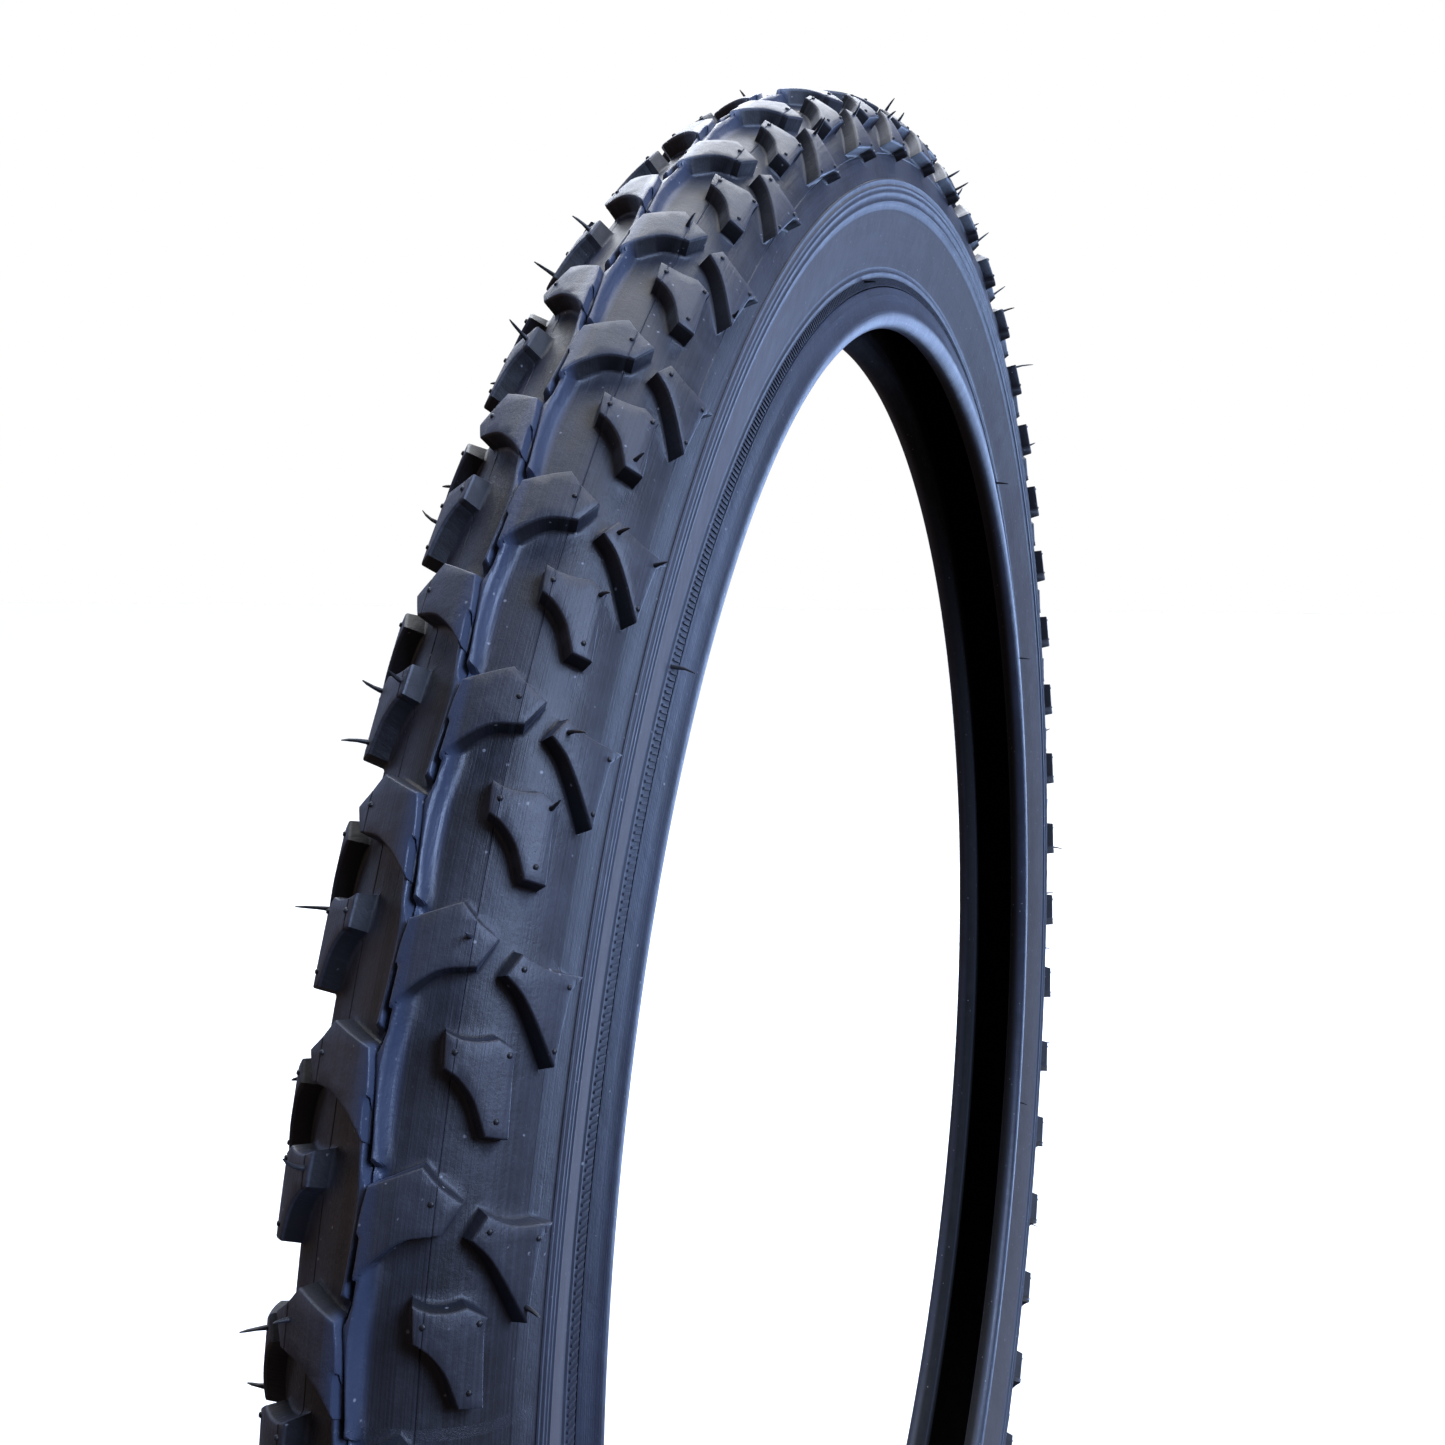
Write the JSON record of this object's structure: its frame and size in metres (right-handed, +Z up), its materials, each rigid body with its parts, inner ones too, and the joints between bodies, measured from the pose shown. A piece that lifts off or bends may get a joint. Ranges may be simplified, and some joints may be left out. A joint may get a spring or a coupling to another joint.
{
  "type": "bicycle tire",
  "caption": "Knobbly wire-bead bicycle tire for a 20 inch wheel, with staggered tread knobs, rubber sidewalls and a bias-ply casing folded round two steel beads.",
  "frame": {"origin": "centre of the tire, on its axis of spin in the middle plane", "axes": "+Y along the axis of spin, +Z up with the tire standing on its tread"},
  "size_m": [0.5108, 0.0382, 0.5108],
  "materials": {
    "tread_rubber": "matte moulded black rubber",
    "cushion_rubber": "soft black gum",
    "ply_fabric": "rubber-coated bias nylon cord, black",
    "sidewall_rubber": "smooth moulded black rubber with fine ribs",
    "chafer_fabric": "rubbered fabric, black satin",
    "bead_steel": "brass-washed high carbon steel wire"
  },
  "bodies": {
    "root": {"tread_cap": "tread_rubber", "tread_cushion": "cushion_rubber", "casing_ply_outer": "ply_fabric", "casing_ply_inner": "ply_fabric", "sidewall_left": "sidewall_rubber", "sidewall_right": "sidewall_rubber", "chafer_left": "chafer_fabric", "chafer_right": "chafer_fabric", "bead_wire_left": "bead_steel", "bead_wire_right": "bead_steel", "bead_sleeve_left": "bead_steel", "bead_sleeve_right": "bead_steel"}
  },
  "joints": []
}
